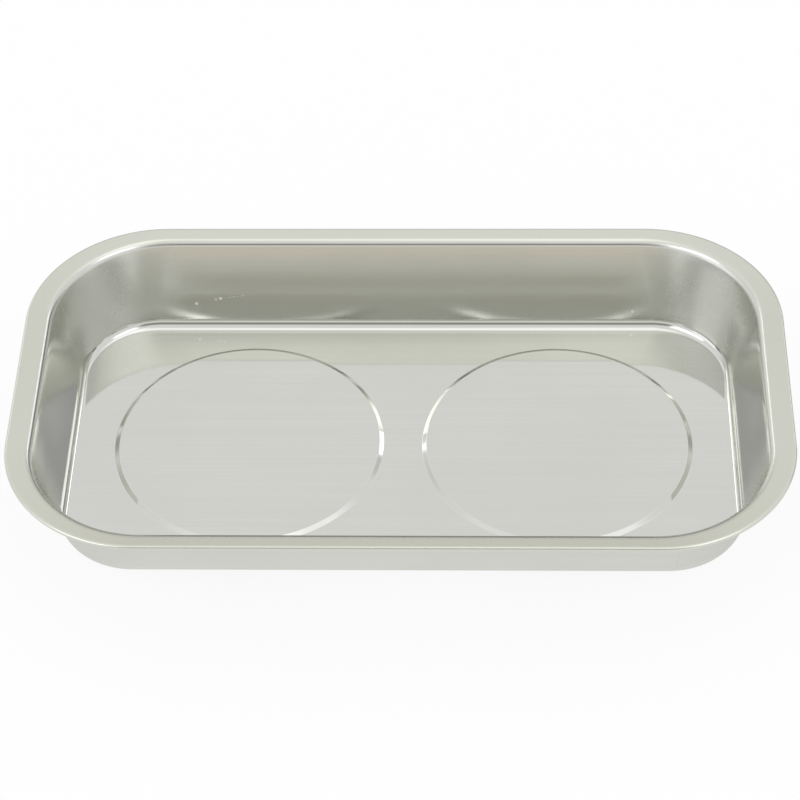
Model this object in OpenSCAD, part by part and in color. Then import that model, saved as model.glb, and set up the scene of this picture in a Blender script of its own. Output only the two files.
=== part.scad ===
// Magnetic parts tray: a pressed stainless dish standing on two rubber-booted magnet pods.
// The origin is the middle of the surface that the boots stand on, +X runs along the tray, +Z is up.

/* [Pan] */
// Length over the rim
tray_l = 240; // [200:1:320]
// Width over the rim
tray_w = 139; // [120:0.5:200]
// Radius of the rim's corners, seen from above
corner_r = 42.5; // [34:0.5:58]
// Depth from the top of the rim to the floor
pan_depth = 29.2; // [20:0.2:44]
// Thickness of the pressed sheet
sheet_t = 0.6; // [0.4:0.1:1]
// Lean of the walls from upright, in degrees
wall_draft = 17; // [8:0.5:24]
// Radius of the bend from wall to floor, on its inner face
floor_bend_r = 4; // [2:0.5:8]

/* [Rim] */
// Width of the flat flange between its two bends
flange_w = 4; // [2:0.1:6]
// Rise of the flange towards its outer edge, in degrees
flange_rise = 5.5; // [1:0.5:10]
// Radius of the bend from flange to wall, on its upper face
mouth_bend_r = 3.4; // [1.4:0.1:5]
// Radius of the turned-down edge, on its inner face
lip_bend_r = 0.2; // [0.1:0.1:2]
// Straight drop below the turned-down edge
lip_drop = 0.2; // [0.1:0.1:3]

/* [Raised discs] */
// Gap between each disc and the bend at its end of the floor
disc_end_gap = 9.7; // [4:0.1:20]
// Least gap between the two discs
disc_mid_gap = 12; // [6:0.5:30]
// Least gap between the discs and the bends along the floor
disc_side_gap = 7.9; // [3:0.1:16]
// Height of each disc above the floor
disc_rise = 0.8; // [0.4:0.1:2]
// Width of the sloping step around each disc
disc_step_w = 1.9; // [1:0.1:4]

/* [Magnet pods] */
// Thickness of each ring magnet
magnet_h = 8; // [7:0.5:14]
// Bore of each ring magnet
magnet_bore = 25; // [20:0.5:36]
// Air gap between each magnet and the wall of its cup
flux_gap = 1.4; // [1:0.1:4]
// Thickness of the pole cup's steel
cup_t = 1.2; // [0.8:0.1:1.8]

/* [Rubber boots] */
// Thickness of the boot's side wall
boot_wall = 2.2; // [1.5:0.1:4]
// Thickness of the boot's base
boot_base_t = 2.5; // [2:0.1:5]
// Thickness of the lip that folds in over the rim of the cup
boot_lip_t = 1; // [0.6:0.1:2]
// Reach of that lip, inwards from the outside of the cup
boot_lip_reach = 1.6; // [0.8:0.1:1.8]
// Diameter of the hole in the base that leads to the nut
boot_hole_d = 20; // [16:0.5:22]
// Radius of the lower outer edge
boot_edge_r = 1.5; // [0.5:0.1:2]
// Number of grip grooves around the base
groove_count = 4; // [1:1:6]
// Width of each grip groove
groove_w = 1.6; // [0.6:0.1:2.5]
// Depth of each grip groove
groove_depth = 0.6; // [0.3:0.1:1.2]

/* [Fasteners] */
// Thread diameter of the weld studs
stud_d = 5; // [4:0.5:6]
// Reach of the weld flange beyond the thread
stud_flange_reach = 0.75; // [0.5:0.05:1.5]
// Thickness of the weld flange
stud_flange_t = 0.8; // [0.5:0.1:1.2]
// Length of thread left bare below the nut
stud_tail = 1; // [0.5:0.1:1.5]
// Width of the nuts across their flats
nut_af = 8; // [7:0.5:10]
// Height of the nuts
nut_h = 4; // [3:0.1:5]
// Outer diameter of the flat washers
washer_d = 10; // [9:0.5:16]
// Thickness of the flat washers
washer_t = 1; // [0.5:0.1:1.6]
// Radial width of the spring washers' wire
spring_washer_w = 2; // [1:0.1:2.5]
// Thickness of the spring washers' wire
spring_washer_t = 1.2; // [0.8:0.1:1.6]
// Opening of the split in the spring washers
spring_washer_split = 0.8; // [0.4:0.1:1.5]

/* [Hidden] */
$fn = 96;
bend_steps = 6;

// Sides of the tray, and its corners as [x side, y side, turn in degrees]
LEFT = -1;
RIGHT = 1;
CORNERS = [[1, 1, 0], [-1, 1, 90], [-1, -1, 180], [1, -1, 270]];

// Clearances, and the overrun of every cut
boot_seat_clear = 0.3;
cup_fit_clear = 0.1;
magnet_fit_clear = 0.25;
stud_hole_clear = 0.25;
thread_clear = 0.1;
flange_clear = 0.2;
overrun = 1;

// Heights of the pod, upwards from the surface that the boots stand on
cup_base_z = boot_base_t;
magnet_z = cup_base_z + cup_t;
disc_under_z = magnet_z + magnet_h;
cup_rim_z = disc_under_z - boot_lip_t;
crown_top_z = disc_under_z - stud_flange_t - flange_clear;
crown_under_z = crown_top_z - cup_t;
washer_z = crown_under_z - washer_t;
spring_washer_z = washer_z - spring_washer_t;
nut_z = spring_washer_z - nut_h;
stud_end_z = nut_z - stud_tail;
floor_z = disc_under_z - disc_rise + sheet_t;

// Radii of the fasteners
stud_r = stud_d / 2;
stud_hole_r = stud_r + stud_hole_clear;
nut_bore_r = stud_r + thread_clear;
nut_corner_r = nut_af / 2 / cos(30);

// Key points of the pan's section, as [distance from a corner's centre, height above the floor]
function heading(angle) = [cos(angle), sin(angle)];
flange_normal = 90 + flange_rise;
wall_normal = 180 - wall_draft;
lip_outer_r = lip_bend_r + sheet_t;
lip_centre = [corner_r - lip_outer_r, pan_depth - lip_outer_r];
flange_outer = lip_centre + lip_outer_r * heading(flange_normal);
flange_inner = flange_outer + flange_w * heading(flange_normal + 90);
mouth_centre = flange_inner - mouth_bend_r * heading(flange_normal);
wall_top = mouth_centre + mouth_bend_r * heading(wall_normal);
wall_foot_z = floor_bend_r * (1 - sin(wall_draft));
wall_len = (wall_top[1] - wall_foot_z) / cos(wall_draft);
wall_foot = wall_top + wall_len * heading(wall_normal + 90);
floor_bend_centre = wall_foot + floor_bend_r * heading(wall_normal);
floor_corner_r = floor_bend_centre[0];

// Centres of the rim's corners, and the straight runs between them
corner_x = tray_l / 2 - corner_r;
corner_y = tray_w / 2 - corner_r;

// The flat of the floor, and the largest pair of discs that keeps its gaps there
floor_l = 2 * (corner_x + floor_corner_r);
floor_w = 2 * (corner_y + floor_corner_r);
disc_d = min(floor_l / 2 - disc_end_gap - disc_mid_gap / 2, floor_w - 2 * disc_side_gap);
disc_spacing = floor_l - 2 * disc_end_gap - disc_d;

// Radii of a disc, of the recess under it and of the pod that sits there
disc_foot_r = disc_d / 2;
disc_top_r = disc_foot_r - disc_step_w;
step_angle = atan(disc_rise / disc_step_w);
recess_shift = sheet_t * tan(step_angle / 2);
recess_top_r = disc_top_r - recess_shift;
recess_foot_r = disc_foot_r - recess_shift;
boot_r = recess_top_r - boot_seat_clear;
cup_r = boot_r - boot_wall - cup_fit_clear;
magnet_r = cup_r - cup_t - flux_gap;
crown_r = magnet_bore / 2 - magnet_fit_clear;

// Points along a bend between two angles
function bend(centre, r, from, to) =
    [for (i = [0 : bend_steps]) centre + r * heading(from + (to - from) * i / bend_steps)];

// One face of the sheet from lip to floor: the upper one at depth zero, the lower one a thickness deeper
function sheet_face(depth) = concat(
    [[corner_r - depth, lip_centre[1] - lip_drop]],
    bend(lip_centre, lip_outer_r - depth, 0, flange_normal),
    bend(mouth_centre, mouth_bend_r - depth, flange_normal, wall_normal),
    bend(floor_bend_centre, floor_bend_r + depth, wall_normal + 180, 270)
);

function backwards(points) = [for (i = [len(points) - 1 : -1 : 0]) points[i]];

// The pan's rim, wall and floor bend, cut square across the sheet
module wall_section() {
    polygon(concat(sheet_face(0), backwards(sheet_face(sheet_t))));
}

// The section carried around the four corners and along the four sides
module wall_ring() {
    for (corner = CORNERS)
        translate([corner[0] * corner_x, corner[1] * corner_y, 0])
            rotate([0, 0, corner[2]])
                rotate_extrude(angle = 90)
                    wall_section();
    for (turn = [0, 180])
        rotate([0, 0, turn]) {
            translate([corner_x, corner_y, 0])
                rotate([90, 0, 0])
                    linear_extrude(2 * corner_y)
                        wall_section();
            translate([-corner_x, corner_y, 0])
                rotate([90, 0, 90])
                    linear_extrude(2 * corner_x)
                        wall_section();
        }
}

// The flat of the floor: a rectangle with round corners
module floor_outline() {
    square([2 * corner_x, floor_w], center = true);
    square([floor_l, 2 * corner_y], center = true);
    for (x = [-corner_x, corner_x], y = [-corner_y, corner_y])
        translate([x, y])
            circle(floor_corner_r);
}

// The floor with its two discs pressed up, which leaves a recess under each
module pan_floor() {
    difference() {
        union() {
            translate([0, 0, -sheet_t])
                linear_extrude(sheet_t)
                    floor_outline();
            for (side = [LEFT, RIGHT])
                at_pod(side)
                    cylinder(h = disc_rise, r1 = disc_foot_r, r2 = disc_top_r);
        }
        for (side = [LEFT, RIGHT])
            at_pod(side)
                translate([0, 0, -sheet_t]) {
                    cylinder(h = disc_rise, r1 = recess_foot_r, r2 = recess_top_r);
                    translate([0, 0, -overrun])
                        cylinder(h = overrun, r = recess_foot_r);
                }
    }
}

// Places a piece on the axis of the left or the right pod
module at_pod(side) {
    translate([side * disc_spacing / 2, 0, 0])
        children();
}

// A flat ring that stands on height z
module ring(z, h, outer_r, inner_r) {
    translate([0, 0, z])
        difference() {
            cylinder(h = h, r = outer_r);
            translate([0, 0, -overrun])
                cylinder(h = h + 2 * overrun, r = inner_r);
        }
}

// The pressed stainless dish
module tray_pan() {
    color("gainsboro")
        translate([0, 0, floor_z]) {
            wall_ring();
            pan_floor();
        }
}

// Threaded stud, welded by its flange to the underside of a disc
module weld_stud(side) {
    color("goldenrod")
        at_pod(side) {
            translate([0, 0, stud_end_z])
                cylinder(h = disc_under_z - stud_end_z, r = stud_r);
            translate([0, 0, disc_under_z - stud_flange_t])
                cylinder(h = stud_flange_t, r = stud_r + stud_flange_reach);
        }
}

// Ferrite ring with one face against the disc and the other in its cup
module ring_magnet(side) {
    color("dimgray")
        at_pod(side)
            ring(magnet_z, magnet_h, magnet_r, magnet_bore / 2);
}

// Pressed steel cup whose raised crown centres the magnet and takes the stud
module pole_cup(side) {
    color("silver")
        at_pod(side) {
            ring(cup_base_z, cup_t, cup_r, crown_r - cup_t);
            ring(cup_base_z, cup_rim_z - cup_base_z, cup_r, cup_r - cup_t);
            ring(cup_base_z, crown_top_z - cup_base_z, crown_r, crown_r - cup_t);
            ring(crown_under_z, cup_t, crown_r, stud_hole_r);
        }
}

// Half section of the boot: round lower edge, pocket for the cup, grip grooves under the base
module boot_section() {
    hole_r = boot_hole_d / 2;
    edge_centre_r = boot_r - boot_edge_r;
    pocket_r = cup_r + cup_fit_clear;
    groove_pitch = (edge_centre_r - hole_r) / (groove_count + 1);
    difference() {
        union() {
            translate([hole_r, boot_edge_r])
                square([boot_r - hole_r, disc_under_z - boot_edge_r]);
            translate([hole_r, 0])
                square([edge_centre_r - hole_r, disc_under_z]);
            translate([edge_centre_r, boot_edge_r])
                circle(boot_edge_r);
        }
        translate([0, cup_base_z])
            square([pocket_r, cup_rim_z - cup_base_z]);
        translate([0, cup_base_z])
            square([cup_r - boot_lip_reach, disc_under_z - cup_base_z + overrun]);
        for (i = [1 : groove_count])
            translate([hole_r + i * groove_pitch - groove_w / 2, -overrun])
                square([groove_w, groove_depth + overrun]);
    }
}

// Rubber boot that wraps the cup and is the foot of the tray
module rubber_boot(side) {
    color("#2b2b2b")
        at_pod(side)
            rotate_extrude()
                boot_section();
}

// Flat washer under the crown of the cup
module flat_washer(side) {
    color("lightgray")
        at_pod(side)
            ring(washer_z, washer_t, washer_d / 2, stud_hole_r);
}

// Split spring washer that keeps the nut tight
module spring_washer(side) {
    wire_outer_r = stud_hole_r + spring_washer_w;
    color("gray")
        at_pod(side)
            difference() {
                ring(spring_washer_z, spring_washer_t, wire_outer_r, stud_hole_r);
                translate([0, -spring_washer_split / 2, spring_washer_z - overrun])
                    cube([wire_outer_r + overrun, spring_washer_split, spring_washer_t + 2 * overrun]);
            }
}

// Hexagon nut on the end of the stud
module hex_nut(side) {
    color("lightgray")
        at_pod(side)
            translate([0, 0, nut_z])
                difference() {
                    cylinder(h = nut_h, r = nut_corner_r, $fn = 6);
                    translate([0, 0, -overrun])
                        cylinder(h = nut_h + 2 * overrun, r = nut_bore_r);
                }
}

tray_pan();
weld_stud(LEFT);  // left_weld_stud
ring_magnet(LEFT);  // left_ring_magnet
pole_cup(LEFT);  // left_pole_cup
rubber_boot(LEFT);  // left_rubber_boot
flat_washer(LEFT);  // left_flat_washer
spring_washer(LEFT);  // left_spring_washer
hex_nut(LEFT);  // left_hex_nut
weld_stud(RIGHT);  // right_weld_stud
ring_magnet(RIGHT);  // right_ring_magnet
pole_cup(RIGHT);  // right_pole_cup
rubber_boot(RIGHT);  // right_rubber_boot
flat_washer(RIGHT);  // right_flat_washer
spring_washer(RIGHT);  // right_spring_washer
hex_nut(RIGHT);  // right_hex_nut
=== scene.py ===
"""A magnetic parts tray: a pressed stainless dish on two rubber-booted magnet pods, in a plain studio."""

import math

import bmesh
import bpy
from mathutils import Matrix, Vector


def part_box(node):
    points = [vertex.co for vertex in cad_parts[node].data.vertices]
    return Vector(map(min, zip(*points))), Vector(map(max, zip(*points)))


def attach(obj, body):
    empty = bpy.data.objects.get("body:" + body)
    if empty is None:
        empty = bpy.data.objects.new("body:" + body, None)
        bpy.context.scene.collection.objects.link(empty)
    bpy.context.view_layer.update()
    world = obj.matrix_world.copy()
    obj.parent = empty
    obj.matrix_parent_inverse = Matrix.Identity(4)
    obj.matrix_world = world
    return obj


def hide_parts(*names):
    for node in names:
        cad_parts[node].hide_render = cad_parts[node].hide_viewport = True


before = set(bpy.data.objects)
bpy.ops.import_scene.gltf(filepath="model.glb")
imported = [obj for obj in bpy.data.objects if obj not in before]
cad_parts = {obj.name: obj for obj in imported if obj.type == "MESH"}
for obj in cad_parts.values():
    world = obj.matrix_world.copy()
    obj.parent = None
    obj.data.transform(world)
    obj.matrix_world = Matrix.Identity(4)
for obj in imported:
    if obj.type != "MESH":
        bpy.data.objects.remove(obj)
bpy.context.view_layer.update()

MM = 0.001
UP = Vector((0, 0, 1))
SIDES = {"left": -1, "right": 1}
QUARTER_TURN = math.pi / 2

# The pressed pan, which fills the box of its CAD node. Its walls steepen by the flare from top to foot
PAN_LOW, PAN_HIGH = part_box("tray_pan")
SHEET_T = 0.6 * MM
CORNER_R = 42.5 * MM
WALL_DRAFT = math.radians(19.9)
WALL_FLARE = math.radians(8)
FLOOR_BEND_R = 4 * MM
FLANGE_W = 3.2 * MM
FLANGE_RISE = math.radians(5.5)
MOUTH_BEND_R = 3.4 * MM
LIP_OUTER_R = 0.8 * MM
LIP_DROP = 0.2 * MM
LIP_EDGE_BEVEL = 0.12 * MM
CUT_EDGE_FROM = math.radians(60)
# At the two ends the flange is wider, and the wall steeper and less bowed
END_FLANGE_EXTRA = 2.05 * MM
END_WALL_TOP_IN = 1.4 * MM
END_FLOOR_OUT = 2.4 * MM
END_BEND_SHORTER = 1.4 * MM
END_WALL_FLATTER = 0.26 * MM
# The corners are tighter at the floor than sections set square to the rim would make them
FLOOR_CORNER_TIGHTER = 2.4 * MM
FLOOR_Z = PAN_LOW.z + SHEET_T
PAN_DEPTH = PAN_HIGH.z - FLOOR_Z
CORNER_X = PAN_HIGH.x - CORNER_R
CORNER_Y = PAN_HIGH.y - CORNER_R

# The two discs pressed up out of the floor
DISC_FOOT_R = 42.75 * MM
DISC_STEP_W = 1.45 * MM
DISC_RISE = 0.8 * MM
DISC_FOOT_BEND_R = 0.5 * MM
DISC_TOP_BEND_R = 0.5 * MM
DISC_OFFSET = 48.74 * MM

# The magnet pods, beyond what the boxes of their CAD nodes give
BOOT_WALL = 2.2 * MM
BOOT_BASE_T = 2.5 * MM
BOOT_LIP_T = 1.0 * MM
BOOT_LIP_REACH = 3.9 * MM
BOOT_HOLE_R = 10.0 * MM
BOOT_EDGE_R = 1.5 * MM
GROOVE_COUNT = 4
GROOVE_W = 1.6 * MM
GROOVE_DEPTH = 0.6 * MM
CUP_T = 1.2 * MM
CROWN_R = 12.25 * MM
MAGNET_BORE_R = 12.5 * MM
STUD_HOLE_R = 2.75 * MM
STUD_FLANGE_T = 0.8 * MM
THREAD_R = 2.5 * MM
THREAD_PITCH = 0.8 * MM
THREAD_DEPTH = 0.4 * MM
# The ridge of the thread starts, peaks and ends at these shares of its pitch, and is rooted inside the core
THREAD_START, THREAD_PEAK, THREAD_END = 0.05, 0.5, 0.95
THREAD_ROOTED = THREAD_DEPTH / 4
NUT_BORE_R = 2.6 * MM
NUT_FACE_SHARE = 0.95
NUT_COUNTERSINK = 0.4 * MM
NUT_CHAMFER = math.pi / 6
SPLIT_W = 0.8 * MM

# Fineness of the rounded shapes
CORNER_STEPS = 36
DISC_STEPS = 160
BEND_STEPS = 10
TURN_STEPS = 96
THREAD_STEPS = 24
BOOT_EDGE_STEPS = 8
BEVEL_STEPS = 2
FLAT_MARGIN = 0.25 * MM
SAME_PLACE = 0.001 * MM

# Edges that turn more than this stay sharp, or get a bevel
SHARP_FROM = math.radians(40)

# Where the finish of the sheet changes: up the walls from the floor, at the flange, and at the corners
WALL_FADE_START = FLOOR_Z + 1.5 * MM
WALL_FADE_END = FLOOR_Z + 5 * MM
FLANGE_FADE_START = PAN_HIGH.z - 1.4 * MM
FLANGE_FADE_END = PAN_HIGH.z - 0.6 * MM
CORNER_FADE = 10 * MM

# Colours of the stainless sheet, how rough it is, and the heights of its relief
STEEL_BRIGHT = (0.695, 0.703, 0.651, 1)
STEEL_SMUDGED = (0.655, 0.662, 0.612, 1)
STEEL_FLANGE = (0.67, 0.684, 0.605, 1)
STEEL_EDGE_TINT = (0.8, 0.8, 0.8, 1)
FLOOR_ROUGHNESS = 0.045
WALL_ROUGHNESS = 0.12
CORNER_ROUGHNESS = 0.26
FLANGE_ROUGHNESS = 0.2
LINE_RELIEF = 0.0012 * MM
WAVE_RELIEF = 0.03 * MM
FLANGE_GRAIN_RELIEF = 0.0013 * MM
SCRATCH_DEPTH = 0.0015 * MM
WAVES_PER_METRE = (110, 110, 14)

# Small pale marks on the back wall: nicks as (centre, radius), in full out to a share of the radius, and a
# short scratch that runs on from them. The last entry is no nick but a painted highlight by the right
# corner
NICKS_AND_GLINT = (
    (Vector((-61.1, 56.15, 21.5)) * MM, 0.7 * MM),
    (Vector((-62.7, 56.0, 21.1)) * MM, 0.5 * MM),
    (Vector((-69.1, 55.6, 19.7)) * MM, 0.7 * MM),
    # A painted highlight, not a nick: a glint where the back wall meets the right corner
    (Vector((74.3, 54.7, 17.0)) * MM, 0.8 * MM),
)
SPOT_CORE = 0.3
SCRATCH_START = Vector((-61.1, 56.15, 21.5)) * MM
SCRATCH_END = Vector((-50.5, 56.6, 22.85)) * MM
SCRATCH_HALF_W = 0.22 * MM
# Roughness and pale colour of the nicks and scratch, and of the painted highlight
MARK_AND_GLINT_ROUGHNESS = 0.4
MARK_AND_GLINT_COLOUR = (0.97, 0.97, 0.95, 1)

# Colours of the finishes of the pods
RUBBER_BLACK, RUBBER_DUSTY = (0.016, 0.016, 0.017, 1), (0.045, 0.044, 0.042, 1)
ZINC_BLUE, ZINC_YELLOW = (0.60, 0.63, 0.67, 1), (0.66, 0.63, 0.52, 1)
FERRITE_DARK, FERRITE_PALE = (0.028, 0.028, 0.031, 1), (0.062, 0.061, 0.062, 1)
COPPER_BRIGHT, COPPER_TARNISHED = (0.74, 0.45, 0.33, 1), (0.42, 0.24, 0.17, 1)
SPRING_BLACK, SPRING_SCRATCHED = (0.05, 0.05, 0.055, 1), (0.32, 0.32, 0.33, 1)

# Most values of a noise lie between these
NOISE_RANGE = (0.3, 0.7)
NOISE_ROUGHNESS = 0.55

# The studio: a white floor, the room's light, and more light overhead, from this rise of a ray on
STUDIO_FLOOR_REACH = 8
STUDIO_FLOOR_COLOUR = (0.9, 0.9, 0.9, 1)
STUDIO_FLOOR_ROUGHNESS = 0.9
STUDIO_FLOOR_WHITE_SHARE = 0.9
ROOM_LIGHT = (0.92, 0.92, 0.94)
TOP_LIGHT = (1.36, 1.36, 1.36)
TOP_LIGHT_FROM = 0.963
# Soft panels that add or take light: (azimuth, elevation, half width, half height, softness, light), with
# angles in degrees and sizes at one metre
PANELS = (
    (180, 36, 0.34, 0.19, 0.12, (-0.58, -0.585, -0.63)),
    (0, 32, 0.5, 0.1, 0.09, (-0.31, -0.33, -0.37)),
    (0, 41, 0.4, 0.05, 0.05, (0.02, 0.0, -0.07)),
    (180, 6, 0.5, 0.13, 0.05, (-0.19, -0.24, -0.33)),
    (25, 9, 1.0, 0.15, 0.06, (-0.7, -0.7, -0.68)),
    (-33, 36, 0.09, 0.08, 0.05, (-0.24, -0.24, -0.22)),
    (36, 34.5, 0.08, 0.08, 0.05, (-0.3, -0.3, -0.26)),
    (-34, 44, 0.14, 0.05, 0.05, (0.35, 0.35, 0.4)),
    (36, 44, 0.14, 0.05, 0.05, (0.35, 0.35, 0.4)),
    (-37, 28, 0.12, 0.08, 0.03, (1.3, 1.3, 1.4)),
    (38, 26, 0.13, 0.08, 0.03, (1.3, 1.3, 1.4)),
    (-129, 44, 0.35, 0.18, 0.08, (1.4, 1.4, 1.5)),
    (130, 47, 0.25, 0.14, 0.08, (1.4, 1.4, 1.5)),
    (-108, 17, 0.35, 0.15, 0.08, (0.4, 0.4, 0.45)),
    (-100, 66, 0.5, 0.18, 0.12, (0.09, 0.09, 0.1)),
    (100, 65, 0.4, 0.15, 0.08, (0.3, 0.3, 0.32)),
    (110, 77, 0.3, 0.1, 0.08, (0.45, 0.45, 0.47)),
    (0, 57, 0.6, 0.07, 0.06, (0.09, 0.09, 0.09)),
    (50, 33, 0.13, 0.1, 0.05, (-0.2, -0.2, -0.2)),
    (-55, 35, 0.16, 0.13, 0.08, (-0.1, -0.1, -0.1)),
)

# The photograph's camera: it looks at a point on the floor of the tray
VIEW_ELEVATION = math.radians(45.79)
VIEW_TURN = math.radians(2.48)
VIEW_ROLL = math.radians(1.69)
VIEW_DISTANCE = 899.21 * MM
VIEW_AIM = Vector((-1.42 * MM, 19.38 * MM, FLOOR_Z))
VIEW_CLIP_START = 10 * MM
LENS_SHARE = 2793.73 / 800


def draw_section(bm, start, heading, moves):
    """Draws a section in the XZ plane from straight runs and round bends, and returns its geometry.

    A move is (length,) for a run or (radius, turn) for a bend. A positive turn goes from +X towards +Z.
    """
    tip = bm.verts.new(start)
    drawn = [tip]
    for move in moves:
        if len(move) == 1:
            grown = bmesh.ops.extrude_vert_indiv(bm, verts=[tip])
            tip = grown["verts"][0]
            tip.co += move[0] * Vector((math.cos(heading), 0, math.sin(heading)))
            drawn += grown["edges"] + grown["verts"]
        else:
            radius, turn = move
            across = Vector((-math.sin(heading), 0, math.cos(heading)))
            centre = tip.co + math.copysign(radius, turn) * across
            before = set(bm.verts) | set(bm.edges)
            bent = bmesh.ops.spin(bm, geom=[tip], cent=centre, axis=Vector((0, -1, 0)), angle=turn,
                                  steps=BEND_STEPS)
            tip = bent["geom_last"][0]
            drawn += [e for e in bm.verts[:] + bm.edges[:] if e not in before]
            heading += turn
    return drawn


def flat(length):
    """The moves along a flat stretch, with a narrow margin at each end that keeps its shading flat."""
    return [(FLAT_MARGIN,), (length - 2 * FLAT_MARGIN,), (FLAT_MARGIN,)]


def pan_moves():
    """The pan's upper face, from the lower edge of the lip to the flat of the floor."""
    top_draft, foot_draft = WALL_DRAFT + WALL_FLARE / 2, WALL_DRAFT - WALL_FLARE / 2
    wall_top_z = (PAN_DEPTH - LIP_OUTER_R * (1 - math.cos(FLANGE_RISE)) - FLANGE_W * math.sin(FLANGE_RISE)
                  - MOUTH_BEND_R * (math.cos(FLANGE_RISE) - math.sin(top_draft)))
    wall_foot_z = FLOOR_BEND_R * (1 - math.sin(foot_draft))
    wall_r = (wall_top_z - wall_foot_z) / (math.sin(top_draft) - math.sin(foot_draft))
    return [
        (LIP_DROP,),
        (LIP_OUTER_R, QUARTER_TURN + FLANGE_RISE),
        *flat(FLANGE_W),
        (MOUTH_BEND_R, QUARTER_TURN - top_draft - FLANGE_RISE),
        (wall_r, WALL_FLARE),
        (FLOOR_BEND_R, foot_draft - QUARTER_TURN),
        (FLAT_MARGIN,),
    ]


def disc_moves():
    """One disc's step, inwards from the flat of the floor to the flat of the disc, and its first radius."""
    slope = math.atan2(DISC_RISE, DISC_STEP_W)
    bends_rise = (DISC_FOOT_BEND_R + DISC_TOP_BEND_R) * (1 - math.cos(slope))
    return [
        (FLAT_MARGIN,),
        (DISC_FOOT_BEND_R, -slope),
        ((DISC_RISE - bends_rise) / math.sin(slope),),
        (DISC_TOP_BEND_R, slope),
        (FLAT_MARGIN,),
    ], DISC_FOOT_R + DISC_FOOT_BEND_R * math.tan(slope / 2) + FLAT_MARGIN


def sweep_around_corners(bm, section):
    """Carries the section around the four corners and along the four sides."""
    corners = ((1, 1), (-1, 1), (-1, -1), (1, -1))
    for (x, y), (next_x, next_y) in zip(corners, corners[1:] + corners[:1]):
        centre = Vector((x * CORNER_X, y * CORNER_Y, 0))
        spun = bmesh.ops.spin(bm, geom=section, cent=centre, axis=UP, angle=QUARTER_TURN,
                              steps=CORNER_STEPS)
        edges = [e for e in spun["geom_last"] if isinstance(e, bmesh.types.BMEdge)]
        side = bmesh.ops.extrude_edge_only(bm, edges=edges)["geom"]
        verts = [v for v in side if isinstance(v, bmesh.types.BMVert)]
        bmesh.ops.translate(bm, verts=verts, vec=Vector((next_x * CORNER_X, next_y * CORNER_Y, 0)) - centre)
        section = verts + [e for e in side if isinstance(e, bmesh.types.BMEdge)]


def shape_ends(bm):
    """Moves the ends in at the mouth and out again at the floor, and tightens the floor's corners."""
    flange_end = LIP_OUTER_R * (1 + math.sin(FLANGE_RISE)) + FLANGE_W * math.cos(FLANGE_RISE)
    wall_top = flange_end + MOUTH_BEND_R * (math.cos(WALL_DRAFT) - math.sin(FLANGE_RISE))
    floor_edge = max(inset_of(v) for v in bm.verts) - FLAT_MARGIN
    wall_foot = floor_edge - FLOOR_BEND_R * math.cos(WALL_DRAFT)
    for v in bm.verts:
        if abs(v.co.x) < CORNER_X - SAME_PLACE:
            continue
        inset = inset_of(v)
        down_wall = share(inset, wall_top, wall_foot)
        inwards = (END_FLANGE_EXTRA * share(inset, LIP_OUTER_R, flange_end)
                   - (END_FLANGE_EXTRA - END_WALL_TOP_IN) * share(inset, flange_end, wall_top)
                   - (END_WALL_TOP_IN + END_FLOOR_OUT - END_BEND_SHORTER) * down_wall
                   - END_BEND_SHORTER * share(inset, wall_foot, floor_edge))
        # The bow is 0 at the top and the foot of the wall, and 1 halfway
        bow = 4 * down_wall * (1 - down_wall)
        inwards -= END_WALL_FLATTER * bow
        tighter = FLOOR_CORNER_TIGHTER * down_wall
        out = Vector((abs(v.co.x) - CORNER_X, max(0, abs(v.co.y) - CORNER_Y))).normalized()
        if abs(v.co.y) > CORNER_Y - SAME_PLACE:
            v.co.y += math.copysign(tighter * (1 - out.y), v.co.y)
            inwards -= tighter * (1 - out.x)
        v.co.x -= math.copysign(1, v.co.x) * inwards


def inset_of(v):
    """How far a point of the swept section lies inside the rim's outline."""
    return CORNER_R - math.hypot(max(0, abs(v.co.x) - CORNER_X), max(0, abs(v.co.y) - CORNER_Y))


def share(value, start, end):
    """Where a value lies between two others, from 0 to 1."""
    return min(1, max(0, (value - start) / (end - start)))


def level_at(edge, z):
    """Whether both ends of an edge are at height z."""
    return all(abs(v.co.z - z) < SAME_PLACE for v in edge.verts)


def open_edges_at(bm, z):
    """The edges on the rim of a hole, at height z."""
    return [e for e in bm.edges if e.is_boundary and level_at(e, z)]


def pan_mesh():
    """The pan as one sheet of even thickness."""
    bm = bmesh.new()
    lip_z = PAN_HIGH.z - LIP_OUTER_R - LIP_DROP
    start = Vector((PAN_HIGH.x, CORNER_Y, lip_z))
    sweep_around_corners(bm, draw_section(bm, start, QUARTER_TURN, pan_moves()))
    shape_ends(bm)
    moves, start_r = disc_moves()
    for side in SIDES.values():
        axis = Vector((side * DISC_OFFSET, 0, FLOOR_Z))
        step = draw_section(bm, axis + Vector((start_r, 0, 0)), math.pi, moves)
        bmesh.ops.spin(bm, geom=step, cent=axis, axis=UP, angle=math.tau, steps=DISC_STEPS, use_merge=True)
    bmesh.ops.remove_doubles(bm, verts=bm.verts, dist=SAME_PLACE)
    bmesh.ops.triangle_fill(bm, edges=open_edges_at(bm, FLOOR_Z), use_beauty=True, normal=UP)
    bmesh.ops.holes_fill(bm, edges=open_edges_at(bm, FLOOR_Z + DISC_RISE))
    bmesh.ops.recalc_face_normals(bm, faces=bm.faces)
    if max(bm.faces, key=lambda f: f.calc_area()).normal.z < 0:
        bmesh.ops.reverse_faces(bm, faces=bm.faces)
    bmesh.ops.solidify(bm, geom=bm.faces[:], thickness=SHEET_T)
    cut_edges = [e for e in bm.edges if level_at(e, lip_z) and e.calc_face_angle(0) > CUT_EDGE_FROM]
    bmesh.ops.bevel(bm, geom=cut_edges, offset=LIP_EDGE_BEVEL, segments=BEVEL_STEPS, profile=0.5,
                    affect="EDGES", material=-1)
    return bm


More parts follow.
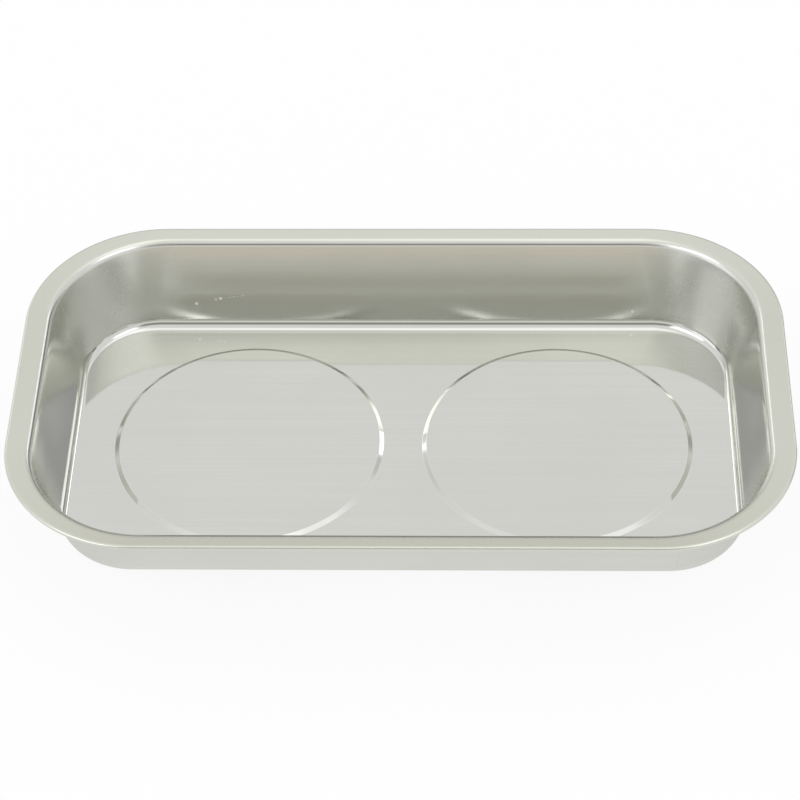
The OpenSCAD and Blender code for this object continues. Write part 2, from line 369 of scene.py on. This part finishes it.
def add_piece(name, bm, finish, node, soften=0):
    """Makes the finished object for one CAD node. soften is the width of the bevel on its edges."""
    mesh = bpy.data.meshes.new(name)
    bm.to_mesh(mesh)
    bm.free()
    mesh.shade_smooth()
    mesh.materials.append(finishes[finish])
    piece = bpy.data.objects.new(name, mesh)
    bpy.context.scene.collection.objects.link(piece)
    if soften:
        bevel = piece.modifiers.new("soft_edges", "BEVEL")
        bevel.width = soften
        bevel.segments = BEVEL_STEPS
        bevel.limit_method = "ANGLE"
        bevel.angle_limit = SHARP_FROM
        bevel.harden_normals = True
    else:
        mesh.set_sharp_from_angle(angle=SHARP_FROM)
    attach(piece, "root")
    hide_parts(node)


def pod_axis(side):
    """The foot of a pod's upright axis, in the middle of its boot."""
    low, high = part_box(f"{side}_rubber_boot")
    return Vector(((low.x + high.x) / 2, 0, 0))


def span(node):
    """The outer radius of a round CAD node, and its lower and upper height."""
    low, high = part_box(node)
    return (high.y - low.y) / 2, low.z, high.z


def turned(axis, section, closed=True, rounded=None):
    """A shape turned on an upright axis from a section of (radius, height) points.

    rounded gives the radius of the bend at some of the section's points, by their place in it.
    """
    bm = bmesh.new()
    corners = [bm.verts.new(axis + Vector((r, 0, z))) for r, z in section]
    if closed:
        bm.faces.new(corners)
        for place_in, radius in (rounded or {}).items():
            bmesh.ops.bevel(bm, geom=[corners[place_in]], offset=radius, offset_type="OFFSET",
                            segments=BOOT_EDGE_STEPS, profile=0.5, affect="VERTICES", material=-1)
        bmesh.ops.delete(bm, geom=bm.faces[:], context="FACES_ONLY")
    else:
        for ends in zip(corners, corners[1:]):
            bm.edges.new(ends)
    bmesh.ops.spin(bm, geom=bm.verts[:] + bm.edges[:], cent=axis, axis=UP, angle=math.tau, steps=TURN_STEPS,
                   use_merge=True)
    bmesh.ops.remove_doubles(bm, verts=bm.verts, dist=SAME_PLACE)
    bmesh.ops.recalc_face_normals(bm, faces=bm.faces)
    return bm


def close_holes(bm):
    bmesh.ops.holes_fill(bm, edges=[e for e in bm.edges if e.is_boundary])
    bmesh.ops.recalc_face_normals(bm, faces=bm.faces)


def closed_wire(bm, points):
    """Draws a closed outline through some points, and returns its vertices and edges."""
    corners = [bm.verts.new(p) for p in points]
    return corners, [bm.edges.new(ends) for ends in zip(corners, corners[1:] + corners[:1])]


def rubber_boot(axis, node):
    """The boot, with grip grooves around its base and a lip folded in over the cup."""
    outer_r, low, high = span(node)
    base, pocket_r = low + BOOT_BASE_T, outer_r - BOOT_WALL
    lip_r, lip_under = outer_r - BOOT_LIP_REACH, high - BOOT_LIP_T
    pitch = (outer_r - BOOT_EDGE_R - BOOT_HOLE_R) / (GROOVE_COUNT + 1)
    section = [(BOOT_HOLE_R, low)]
    for i in range(1, GROOVE_COUNT + 1):
        middle = BOOT_HOLE_R + i * pitch
        inner, outer = middle - GROOVE_W / 2, middle + GROOVE_W / 2
        section += [(inner, low), (inner, low + GROOVE_DEPTH), (outer, low + GROOVE_DEPTH), (outer, low)]
    lower_edge = len(section)
    section += [(outer_r, low), (outer_r, high), (lip_r, high), (lip_r, lip_under), (pocket_r, lip_under),
                (pocket_r, base), (BOOT_HOLE_R, base)]
    return turned(axis, section, rounded={lower_edge: BOOT_EDGE_R})


def pole_cup(axis, node):
    """The cup, whose raised crown centres the magnet and takes the stud."""
    outer_r, low, high = span(node)
    inner_r, base = outer_r - CUP_T, low + CUP_T
    crown_inner_r, crown_under = CROWN_R - CUP_T, high - CUP_T
    return turned(axis, [
        (crown_inner_r, low), (outer_r, low), (outer_r, high), (inner_r, high), (inner_r, base),
        (CROWN_R, base), (CROWN_R, high), (STUD_HOLE_R, high), (STUD_HOLE_R, crown_under),
        (crown_inner_r, crown_under),
    ])


def flat_ring(axis, node, bore_r):
    outer_r, low, high = span(node)
    return turned(axis, [(bore_r, low), (outer_r, low), (outer_r, high), (bore_r, high)])


def ring_magnet(axis, node):
    return flat_ring(axis, node, MAGNET_BORE_R)


def flat_washer(axis, node):
    return flat_ring(axis, node, STUD_HOLE_R)


def weld_stud(axis, node):
    """The stud, with its weld flange at the top and its thread as one ridge that winds up the core."""
    flange_r, low, high = span(node)
    core_r, flange_under = THREAD_R - THREAD_DEPTH, high - STUD_FLANGE_T
    bm = turned(axis, [(0, low), (core_r, low), (core_r, flange_under), (flange_r, flange_under),
                       (flange_r, high), (0, high)], closed=False)
    root_r = core_r - THREAD_ROOTED
    corners, edges = closed_wire(bm, [
        axis + Vector((r, 0, low + rise * THREAD_PITCH))
        for r, rise in ((root_r, THREAD_START), (THREAD_R, THREAD_PEAK), (root_r, THREAD_END))
    ])
    turns = int((flange_under - low) / THREAD_PITCH) - 1
    bmesh.ops.spin(bm, geom=corners + edges, cent=axis, axis=UP, dvec=UP * THREAD_PITCH / THREAD_STEPS,
                   angle=math.tau * turns, steps=THREAD_STEPS * turns)
    close_holes(bm)
    return bm


def spring_washer(axis, node):
    """A ring of flat wire with a split on its +X side."""
    outer_r, low, high = span(node)
    bm = bmesh.new()
    corners, edges = closed_wire(bm, [
        axis + Vector((r, 0, z))
        for r, z in ((STUD_HOLE_R, low), (outer_r, low), (outer_r, high), (STUD_HOLE_R, high))
    ])
    half_split = math.asin(SPLIT_W / 2 / outer_r)
    bmesh.ops.rotate(bm, verts=corners, cent=axis, matrix=Matrix.Rotation(half_split, 3, "Z"))
    bmesh.ops.spin(bm, geom=corners + edges, cent=axis, axis=UP, angle=math.tau - 2 * half_split,
                   steps=TURN_STEPS)
    close_holes(bm)
    return bm


def hex_nut(axis, node):
    """A ring with chamfered edges, cut to six flats."""
    half_flats, low, high = span(node)
    half_side = math.pi / 6
    corner_r, face_r = half_flats / math.cos(half_side), NUT_FACE_SHARE * half_flats
    drop = (corner_r - face_r) * math.tan(NUT_CHAMFER)
    mouth_r = NUT_BORE_R + NUT_COUNTERSINK
    bm = turned(axis, [
        (mouth_r, low), (face_r, low), (corner_r, low + drop), (corner_r, high - drop), (face_r, high),
        (mouth_r, high), (NUT_BORE_R, high - NUT_COUNTERSINK), (NUT_BORE_R, low + NUT_COUNTERSINK),
    ])
    for side in range(6):
        out = Matrix.Rotation(half_side + side * 2 * half_side, 3, "Z") @ Vector((1, 0, 0))
        bmesh.ops.bisect_plane(bm, geom=bm.verts[:] + bm.edges[:] + bm.faces[:],
                               plane_co=axis + half_flats * out, plane_no=out, clear_outer=True)
        close_holes(bm)
    return bm


def place(tree, kind, inputs=None, **settings):
    """Adds a node to a tree, sets it, and fills its inputs with values or with links."""
    node = tree.nodes.new(kind)
    for name, value in settings.items():
        setattr(node, name, value)
    for name, value in (inputs or {}).items():
        if isinstance(value, bpy.types.NodeSocket):
            tree.links.new(value, node.inputs[name])
        else:
            node.inputs[name].default_value = value
    return node


def calc(tree, operation, *values):
    """The result of a Math node."""
    return place(tree, "ShaderNodeMath", dict(enumerate(values)), operation=operation).outputs[0]


def calc_vector(tree, operation, *values):
    """The result of a Vector Math node, which is a number for some operations."""
    node = place(tree, "ShaderNodeVectorMath", dict(enumerate(values)), operation=operation)
    return node.outputs["Value" if operation in ("DISTANCE", "DOT_PRODUCT", "LENGTH") else "Vector"]


def ramp(tree, value, start, end, high=1.0):
    """A value eased from 0 to high as another goes from start to end."""
    node = place(tree, "ShaderNodeMapRange", {
        "Value": value, "From Min": start, "From Max": end, "To Min": 0, "To Max": high,
    }, interpolation_type="SMOOTHSTEP")
    return node.outputs["Result"]


def opposite(tree, mask):
    """A mask that is 1 where another is 0."""
    return calc(tree, "SUBTRACT", 1, mask)


def raised(tree, base, mask, by):
    """A number raised by an amount where a mask is 1."""
    return calc(tree, "MULTIPLY_ADD", mask, by, base)


def between(tree, mask, first, second):
    """A number that goes from one to another with a mask."""
    return place(tree, "ShaderNodeMix", {0: mask, 2: first, 3: second}).outputs[0]


def blended(tree, mask, first, second):
    """A colour that goes from one to another with a mask."""
    return place(tree, "ShaderNodeMix", {0: mask, 6: first, 7: second}, data_type="RGBA").outputs[2]


def node_of(tree, kind):
    return next(n for n in tree.nodes if n.type == kind)


def new_group(name, inputs, output):
    """An empty node group with number inputs and one number output, and its two ends."""
    tree = bpy.data.node_groups.new(name, "ShaderNodeTree")
    for label, value in inputs.items():
        socket = tree.interface.new_socket(label, in_out="INPUT", socket_type="NodeSocketFloat")
        socket.default_value = value
    tree.interface.new_socket(output, in_out="OUTPUT", socket_type="NodeSocketFloat")
    entry = tree.nodes.new("NodeGroupInput")
    leave = tree.nodes.new("NodeGroupOutput")
    return tree, entry.outputs, leave.inputs


def stretched_noise(tree, per_metre, stretch, detail, turn=None):
    """Noise on Object coordinates whose marks run along X: stretch is their width by their length."""
    where = place(tree, "ShaderNodeTexCoord").outputs["Object"]
    if turn is not None:
        where = place(tree, "ShaderNodeVectorRotate", {"Vector": where, "Angle": turn},
                      rotation_type="Z_AXIS").outputs[0]
    along = calc(tree, "MULTIPLY", per_metre, stretch)
    scale = place(tree, "ShaderNodeCombineXYZ", {"X": along, "Y": per_metre, "Z": per_metre}).outputs[0]
    noise = place(tree, "ShaderNodeTexNoise", {
        "Vector": calc_vector(tree, "MULTIPLY", where, scale), "Scale": 1, "Detail": detail,
        "Roughness": NOISE_ROUGHNESS,
    })
    return noise.outputs["Fac"]


def rolled_lines_group():
    """The fine lines that rolling and brushing leave along a sheet."""
    tree, entry, leave = new_group("rolled_lines", {"Lines per metre": 1000, "Stretch": 0.005}, "Lines")
    lines = stretched_noise(tree, entry["Lines per metre"], entry["Stretch"], detail=2)
    tree.links.new(lines, leave["Lines"])
    return tree


def smudges_group():
    """Soft patches where a surface has been handled."""
    tree, entry, leave = new_group("smudges", {"Patches per metre": 30}, "Smudges")
    patches = stretched_noise(tree, entry["Patches per metre"], stretch=1, detail=4)
    tree.links.new(ramp(tree, patches, start=0.4, end=0.68), leave["Smudges"])
    return tree


def scratches_group():
    """Sparse hairline scratches that run one way and break off."""
    inputs = {"Scratches per metre": 600, "Turn": 0.3}
    tree, entry, leave = new_group("hairline_scratches", inputs, "Scratches")
    hairs = stretched_noise(tree, entry["Scratches per metre"], stretch=0.012, detail=0, turn=entry["Turn"])
    patches = stretched_noise(tree, per_metre=55, stretch=1, detail=1)
    scratches = calc(tree, "MULTIPLY", ramp(tree, hairs, start=0.74, end=0.8),
                     ramp(tree, patches, start=0.56, end=0.64))
    tree.links.new(scratches, leave["Scratches"])
    return tree


def grain_group():
    """An even fine grain."""
    tree, entry, leave = new_group("grain", {"Grains per metre": 2500}, "Grain")
    tree.links.new(stretched_noise(tree, entry["Grains per metre"], stretch=1, detail=2), leave["Grain"])
    return tree


def from_group(tree, name, **inputs):
    """The output of a node group, with its inputs by their names with spaces written as underscores."""
    inputs = {label.replace("_", " "): value for label, value in inputs.items()}
    return place(tree, "ShaderNodeGroup", inputs, node_tree=groups[name]).outputs[0]


def new_material(name, metallic=0.0):
    """A material, its node tree and its Principled shader."""
    material = bpy.data.materials.new(name)
    material.use_nodes = True
    tree = material.node_tree
    shader = node_of(tree, "BSDF_PRINCIPLED")
    shader.inputs["Metallic"].default_value = metallic
    return material, tree, shader


def finish_shader(tree, shader, colour, roughness, relief):
    """Links a shader's colour, its roughness and the relief of its surface in metres."""
    tree.links.new(colour, shader.inputs["Base Color"])
    tree.links.new(roughness, shader.inputs["Roughness"])
    bump = place(tree, "ShaderNodeBump", {"Strength": 1, "Distance": 1, "Height": relief})
    tree.links.new(bump.outputs["Normal"], shader.inputs["Normal"])


def beyond_corner(tree, coordinate, corner):
    """A mask that fades in beyond the start of the corners, at both ends of an axis."""
    return ramp(tree, calc(tree, "ABSOLUTE", coordinate), corner - CORNER_FADE, corner + CORNER_FADE)


def stainless_sheet():
    """Bright pressed sheet, polished by the punch inside and left with its duller finish on the flange."""
    material, tree, shader = new_material("stainless_sheet", metallic=1)
    shader.inputs["Specular Tint"].default_value = STEEL_EDGE_TINT
    lines = from_group(tree, "rolled_lines", Lines_per_metre=1400, Stretch=0.004)
    streaks = from_group(tree, "rolled_lines", Lines_per_metre=260, Stretch=0.03)
    smudges = from_group(tree, "smudges", Patches_per_metre=26)
    scratches = from_group(tree, "hairline_scratches", Scratches_per_metre=900, Turn=0.25)
    grain = from_group(tree, "grain", Grains_per_metre=1800)
    where = place(tree, "ShaderNodeTexCoord").outputs["Object"]
    along, across, height = place(tree, "ShaderNodeSeparateXYZ", {0: where}).outputs
    flange = ramp(tree, height, FLANGE_FADE_START, FLANGE_FADE_END)
    off_floor = ramp(tree, height, WALL_FADE_START, WALL_FADE_END)
    wall = calc(tree, "MULTIPLY", off_floor, opposite(tree, flange))
    # The sheet is drawn most at the corners, which leaves their walls duller
    corner = calc(tree, "MULTIPLY", wall, calc(tree, "MULTIPLY", beyond_corner(tree, along, CORNER_X),
                                               beyond_corner(tree, across, CORNER_Y)))
    # Parts that slide about scratch the floor and the flange
    scratches = calc(tree, "MULTIPLY", scratches, opposite(tree, wall))
    # The walls keep faint upright waves from the drawing of the sheet
    upright = calc_vector(tree, "MULTIPLY", where, WAVES_PER_METRE)
    waves = place(tree, "ShaderNodeTexNoise", {"Vector": upright, "Scale": 1, "Detail": 1}).outputs["Fac"]
    marks_and_glint = wall_marks_and_glint(tree, where, grain)

    colour = blended(tree, calc(tree, "MULTIPLY", smudges, 0.5), STEEL_BRIGHT, STEEL_SMUDGED)
    colour = blended(tree, ramp(tree, streaks, *NOISE_RANGE, high=0.35), colour, STEEL_SMUDGED)
    colour = blended(tree, ramp(tree, lines, *NOISE_RANGE, high=0.5), colour, STEEL_SMUDGED)
    colour = blended(tree, flange, colour, STEEL_FLANGE)
    # Pale nicks and a scratch on the back wall, and one painted highlight near the right corner
    colour = blended(tree, marks_and_glint, colour, MARK_AND_GLINT_COLOUR)

    polished = between(tree, wall, FLOOR_ROUGHNESS, WALL_ROUGHNESS)
    polished = between(tree, corner, polished, CORNER_ROUGHNESS)
    polished = raised(tree, polished, smudges, by=0.025)
    polished = raised(tree, polished, streaks, by=0.02)
    dull = raised(tree, FLANGE_ROUGHNESS, grain, by=0.1)
    roughness = between(tree, flange, polished, dull)
    roughness = raised(tree, roughness, scratches, by=0.1)
    roughness = raised(tree, roughness, marks_and_glint, by=MARK_AND_GLINT_ROUGHNESS)

    relief = calc(tree, "MULTIPLY", lines, LINE_RELIEF)
    relief = raised(tree, relief, calc(tree, "MULTIPLY", waves, wall), by=WAVE_RELIEF)
    relief = raised(tree, relief, calc(tree, "MULTIPLY", grain, flange), by=FLANGE_GRAIN_RELIEF)
    relief = raised(tree, relief, scratches, by=-SCRATCH_DEPTH)
    finish_shader(tree, shader, colour, roughness, relief)
    return material


def wall_marks_and_glint(tree, where, grain):
    """How much a place is covered by the back wall's nicks and scratch, and by one painted highlight, from
    0 to 1.
    """
    marks_and_glint = 0.0
    for centre, radius in NICKS_AND_GLINT:
        away = calc_vector(tree, "DISTANCE", where, centre)
        marks_and_glint = calc(tree, "MAXIMUM", marks_and_glint, ramp(tree, away, radius, SPOT_CORE * radius))
    run = SCRATCH_END - SCRATCH_START
    from_start = calc_vector(tree, "SUBTRACT", where, SCRATCH_START)
    along = calc_vector(tree, "DOT_PRODUCT", from_start, run.normalized())
    off = calc_vector(tree, "LENGTH", calc_vector(tree, "CROSS_PRODUCT", from_start, run.normalized()))
    # The grain breaks the scratch up, and it dies out towards its ends
    line = calc(tree, "MULTIPLY", ramp(tree, off, SCRATCH_HALF_W, 0),
                ramp(tree, grain, start=0.35, end=0.6))
    for end in (0, run.length):
        line = calc(tree, "MULTIPLY", line, ramp(tree, along, end, run.length / 2))
    return calc(tree, "MAXIMUM", marks_and_glint, line)


def black_rubber():
    """Moulded rubber with a fine grain and a bloom of dust."""
    material, tree, shader = new_material("black_rubber")
    grain = from_group(tree, "grain", Grains_per_metre=2600)
    dust = from_group(tree, "smudges", Patches_per_metre=70)
    colour = blended(tree, calc(tree, "MULTIPLY", dust, 0.6), RUBBER_BLACK, RUBBER_DUSTY)
    roughness = raised(tree, raised(tree, 0.45, grain, by=0.2), dust, by=0.15)
    finish_shader(tree, shader, colour, roughness, calc(tree, "MULTIPLY", grain, 0.03 * MM))
    return material


def zinc_plated_steel():
    """Bright zinc with a pale yellow and blue passivation."""
    material, tree, shader = new_material("zinc_plated_steel", metallic=1)
    grain = from_group(tree, "grain", Grains_per_metre=3500)
    tints = from_group(tree, "smudges", Patches_per_metre=120)
    scratches = from_group(tree, "hairline_scratches", Scratches_per_metre=1500, Turn=1.1)
    roughness = raised(tree, raised(tree, 0.2, grain, by=0.25), scratches, by=0.2)
    finish_shader(tree, shader, blended(tree, tints, ZINC_BLUE, ZINC_YELLOW), roughness,
                  calc(tree, "MULTIPLY", grain, 0.006 * MM))
    return material


def ferrite():
    """Sintered ferrite, dark grey and dull, with ground faces."""
    material, tree, shader = new_material("ferrite")
    grain = from_group(tree, "grain", Grains_per_metre=4000)
    ground = from_group(tree, "rolled_lines", Lines_per_metre=2500, Stretch=0.02)
    relief = raised(tree, calc(tree, "MULTIPLY", grain, 0.012 * MM), ground, by=0.004 * MM)
    finish_shader(tree, shader, blended(tree, grain, FERRITE_DARK, FERRITE_PALE),
                  raised(tree, 0.4, ground, by=0.3), relief)
    return material


def copper_flashed_steel():
    """Steel with a thin coat of copper, darker where it was welded and handled."""
    material, tree, shader = new_material("copper_flashed_steel", metallic=1)
    grain = from_group(tree, "grain", Grains_per_metre=3000)
    tarnish = from_group(tree, "smudges", Patches_per_metre=300)
    roughness = raised(tree, raised(tree, 0.25, grain, by=0.15), tarnish, by=0.2)
    finish_shader(tree, shader, blended(tree, tarnish, COPPER_BRIGHT, COPPER_TARNISHED), roughness,
                  calc(tree, "MULTIPLY", grain, 0.005 * MM))
    return material


def black_spring_steel():
    """Oil-blackened spring steel with a faint shine along its scratches."""
    material, tree, shader = new_material("black_spring_steel", metallic=0.8)
    grain = from_group(tree, "grain", Grains_per_metre=3000)
    scratches = from_group(tree, "hairline_scratches", Scratches_per_metre=1800, Turn=0.7)
    finish_shader(tree, shader, blended(tree, scratches, SPRING_BLACK, SPRING_SCRATCHED),
                  raised(tree, 0.3, grain, by=0.25), calc(tree, "MULTIPLY", grain, 0.006 * MM))
    return material


def facing(azimuth, elevation):
    """The way from the tray to a place in the studio, with the azimuth from the back towards the right."""
    flat_share = math.cos(elevation)
    return Vector((math.sin(azimuth) * flat_share, math.cos(azimuth) * flat_share, math.sin(elevation)))


def panel_share(tree, direction, azimuth, elevation, half_width, half_height, soft):
    """How much of a soft-edged panel is seen along a ray, from 0 to 1, with its angles in degrees."""
    azimuth, elevation = math.radians(azimuth), math.radians(elevation)
    out = facing(azimuth, elevation)
    side = facing(azimuth + QUARTER_TURN, 0)
    away = calc_vector(tree, "DOT_PRODUCT", direction, out)
    seen = calc(tree, "GREATER_THAN", away, 0)
    for way, half in ((side, half_width), (side.cross(out), half_height)):
        reach = calc_vector(tree, "DOT_PRODUCT", direction, way)
        offset = calc(tree, "ABSOLUTE", calc(tree, "DIVIDE", reach, away))
        seen = calc(tree, "MULTIPLY", seen, ramp(tree, offset, half + soft, max(0, half - soft)))
    return seen


def studio_floor():
    """A white floor that keeps the tray's shadow."""
    bm = bmesh.new()
    bmesh.ops.create_grid(bm, x_segments=1, y_segments=1, size=STUDIO_FLOOR_REACH)
    mesh = bpy.data.meshes.new("studio_floor")
    bm.to_mesh(mesh)
    bm.free()
    floor = bpy.data.objects.new("studio_floor", mesh)
    bpy.context.scene.collection.objects.link(floor)
    material, tree, shader = new_material("white_floor")
    shader.inputs["Base Color"].default_value = STUDIO_FLOOR_COLOUR
    shader.inputs["Roughness"].default_value = STUDIO_FLOOR_ROUGHNESS
    path = place(tree, "ShaderNodeLightPath").outputs
    seen = calc(tree, "MAXIMUM", path["Is Camera Ray"],
                calc(tree, "MAXIMUM", path["Is Glossy Ray"], path["Is Transmission Ray"]))
    glow = place(tree, "ShaderNodeEmission", {"Color": (1, 1, 1, 1), "Strength": 1})
    mix = place(tree, "ShaderNodeMixShader", {0: calc(tree, "MULTIPLY", seen, STUDIO_FLOOR_WHITE_SHARE),
                                              1: shader.outputs[0], 2: glow.outputs[0]})
    tree.links.new(mix.outputs[0], node_of(tree, "OUTPUT_MATERIAL").inputs["Surface"])
    mesh.materials.append(material)


def studio_light():
    """The studio around the tray: the room's light, the light overhead, and soft panels."""
    world = bpy.data.worlds.new("studio")
    bpy.context.scene.world = world
    world.use_nodes = True
    tree = world.node_tree
    direction = place(tree, "ShaderNodeTexCoord").outputs["Generated"]
    height = place(tree, "ShaderNodeSeparateXYZ", {0: direction}).outputs["Z"]
    overhead = ramp(tree, height, TOP_LIGHT_FROM, 1)
    light = place(tree, "ShaderNodeMix", {0: overhead, 4: ROOM_LIGHT, 5: TOP_LIGHT},
                  data_type="VECTOR").outputs[1]
    for *panel, added in PANELS:
        light = calc_vector(tree, "MULTIPLY_ADD", panel_share(tree, direction, *panel), added, light)
    background = node_of(tree, "BACKGROUND")
    background.inputs["Strength"].default_value = 1
    tree.links.new(calc_vector(tree, "MAXIMUM", light, (0, 0, 0)), background.inputs["Color"])


def photo_camera():
    data = bpy.data.cameras.new("photo_camera")
    data.sensor_width = 36
    data.lens = LENS_SHARE * data.sensor_width
    data.clip_start = VIEW_CLIP_START
    camera = bpy.data.objects.new("photo_camera", data)
    scene = bpy.context.scene
    scene.collection.objects.link(camera)
    forward = Vector((-math.sin(VIEW_TURN) * math.cos(VIEW_ELEVATION),
                      math.cos(VIEW_TURN) * math.cos(VIEW_ELEVATION),
                      -math.sin(VIEW_ELEVATION)))
    right = forward.cross(UP).normalized()
    down = forward.cross(right)
    rolled_right = math.cos(VIEW_ROLL) * right + math.sin(VIEW_ROLL) * down
    rolled_up = math.sin(VIEW_ROLL) * right - math.cos(VIEW_ROLL) * down
    turn = Matrix((rolled_right, rolled_up, -forward)).transposed().to_4x4()
    camera.matrix_world = Matrix.Translation(VIEW_AIM - VIEW_DISTANCE * forward) @ turn
    scene.camera = camera


groups = {
    "rolled_lines": rolled_lines_group(),
    "smudges": smudges_group(),
    "hairline_scratches": scratches_group(),
    "grain": grain_group(),
}
finishes = {
    "stainless_sheet": stainless_sheet(),
    "zinc_plated_steel": zinc_plated_steel(),
    "black_rubber": black_rubber(),
    "copper_flashed_steel": copper_flashed_steel(),
    "ferrite": ferrite(),
    "black_spring_steel": black_spring_steel(),
}

# The pieces of a pod: name, CAD node, shape, finish, and the width of the bevel that softens their edges
POD_PIECES = (
    ("boot", "rubber_boot", rubber_boot, "black_rubber", 0.3 * MM),
    ("cup", "pole_cup", pole_cup, "zinc_plated_steel", 0.4 * MM),
    ("magnet", "ring_magnet", ring_magnet, "ferrite", 0.4 * MM),
    ("stud", "weld_stud", weld_stud, "copper_flashed_steel", 0),
    ("washer", "flat_washer", flat_washer, "zinc_plated_steel", 0.15 * MM),
    ("lock_washer", "spring_washer", spring_washer, "black_spring_steel", 0.12 * MM),
    ("nut", "hex_nut", hex_nut, "zinc_plated_steel", 0.1 * MM),
)

add_piece("pan", pan_mesh(), "stainless_sheet", "tray_pan")
for side in SIDES:
    axis = pod_axis(side)
    for name, kind, shape, finish, soften in POD_PIECES:
        node = f"{side}_{kind}"
        add_piece(f"{side}_{name}", shape(axis, node), finish, node, soften)

studio_floor()
studio_light()
photo_camera()
bpy.context.scene.view_settings.view_transform = "Standard"
